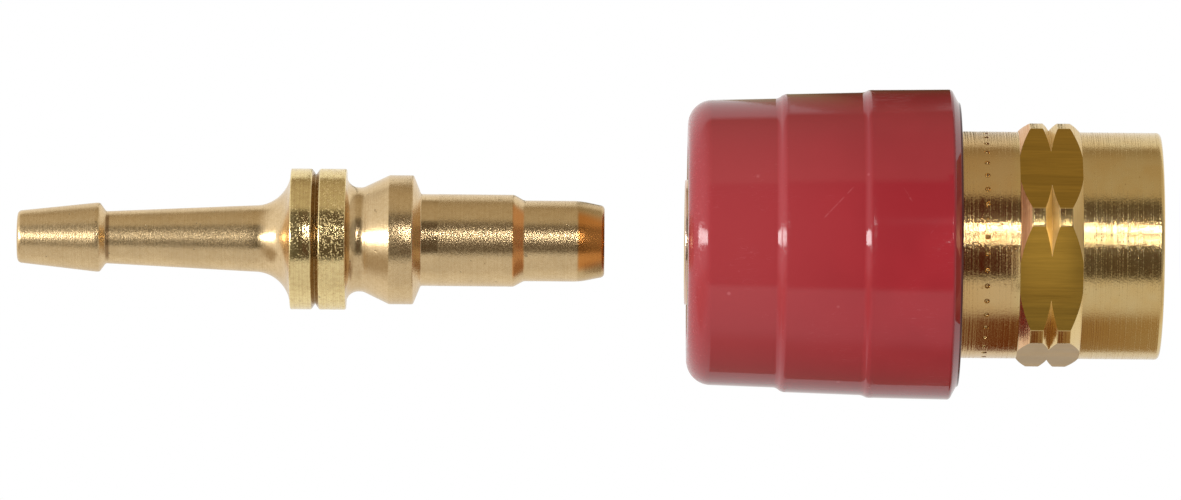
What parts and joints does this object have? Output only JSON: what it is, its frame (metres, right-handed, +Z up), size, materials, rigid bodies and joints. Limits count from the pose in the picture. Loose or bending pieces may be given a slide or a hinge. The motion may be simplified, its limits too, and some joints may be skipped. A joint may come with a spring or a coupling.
{
  "type": "gas hose coupling",
  "caption": "Quick-release gas hose coupling: turned brass probe with a barbed hose tail, and a brass ball-lock socket with a stepped red grip sleeve, hex collar and threaded inlet.",
  "frame": {"origin": "on the axis of turning, where the full wall of the inlet thread begins behind its entry chamfer", "axes": "+X along the axis, out of the socket's threaded inlet, so the probe and its hose tail lie at -X; +Z up in the picture; the picture looks along +Y"},
  "size_m": [0.1118, 0.0304, 0.0304],
  "materials": {
    "probe_brass": "satin turned",
    "socket_brass": "polished, fine turning lines",
    "spool_brass": "satin turned",
    "red_grip": "glossy, lightly scratched",
    "lock_steel": "ground",
    "spring_steel": "drawn wire",
    "ball_steel": "polished",
    "seal_rubber": "matt",
    "filter_bronze": "sintered",
    "inlet_fibre": "matt"
  },
  "bodies": {
    "socket": {"socket_body": "socket_brass", "sleeve_spring": "spring_steel", "valve_spring": "spring_steel", "spring_seat": "spool_brass", "inlet_filter": "filter_bronze", "seat_circlip": "spring_steel", "inlet_seal": "inlet_fibre"},
    "sleeve": {"grip_sleeve": "red_grip", "lock_ring": "lock_steel", "sleeve_stop_ring": "spring_steel"},
    "valve": {"valve_spool": "spool_brass", "valve_seal": "seal_rubber", "spool_o_ring": "seal_rubber", "probe_o_ring": "seal_rubber"},
    "probe": {"probe": "probe_brass"},
    "ball_1": {"lock_ball_1": "ball_steel"},
    "ball_2": {"lock_ball_2": "ball_steel"},
    "ball_3": {"lock_ball_3": "ball_steel"},
    "ball_4": {"lock_ball_4": "ball_steel"},
    "ball_5": {"lock_ball_5": "ball_steel"},
    "ball_6": {"lock_ball_6": "ball_steel"}
  },
  "joints": [
    {"name": "valve_stroke", "type": "slide", "parent": "socket", "child": "valve", "axis": [1, 0, 0], "range_m": [0, 0.00689], "deforming": ["valve_spring"]},
    {"name": "probe_insert", "type": "slide", "parent": "valve", "child": "probe", "axis": [1, 0, 0], "range_m": [0, 0.02632]},
    {"name": "sleeve_lock", "type": "slide", "parent": "socket", "child": "sleeve", "axis": [-1, 0, 0], "range_m": [0, 0.0041], "deforming": ["sleeve_spring"]},
    {"name": "ball_1_lock", "type": "slide", "parent": "socket", "child": "ball_1", "axis": [0, 0, -1], "range_m": [0, 0.000676]},
    {"name": "ball_2_lock", "type": "slide", "parent": "socket", "child": "ball_2", "axis": [0, -0.866, -0.5], "range_m": [0, 0.000676]},
    {"name": "ball_3_lock", "type": "slide", "parent": "socket", "child": "ball_3", "axis": [0, -0.866, 0.5], "range_m": [0, 0.000676]},
    {"name": "ball_4_lock", "type": "slide", "parent": "socket", "child": "ball_4", "axis": [0, 0, 1], "range_m": [0, 0.000676]},
    {"name": "ball_5_lock", "type": "slide", "parent": "socket", "child": "ball_5", "axis": [0, 0.866, 0.5], "range_m": [0, 0.000676]},
    {"name": "ball_6_lock", "type": "slide", "parent": "socket", "child": "ball_6", "axis": [0, 0.866, -0.5], "range_m": [0, 0.000676]}
  ],
  "couplings": [
    {"joint": "sleeve_lock", "follows": "valve_stroke", "ratio": 0.59497},
    {"joint": "ball_1_lock", "follows": "valve_stroke", "ratio": 0.098022},
    {"joint": "ball_2_lock", "follows": "valve_stroke", "ratio": 0.098022},
    {"joint": "ball_3_lock", "follows": "valve_stroke", "ratio": 0.098022},
    {"joint": "ball_4_lock", "follows": "valve_stroke", "ratio": 0.098022},
    {"joint": "ball_5_lock", "follows": "valve_stroke", "ratio": 0.098022},
    {"joint": "ball_6_lock", "follows": "valve_stroke", "ratio": 0.098022}
  ]
}
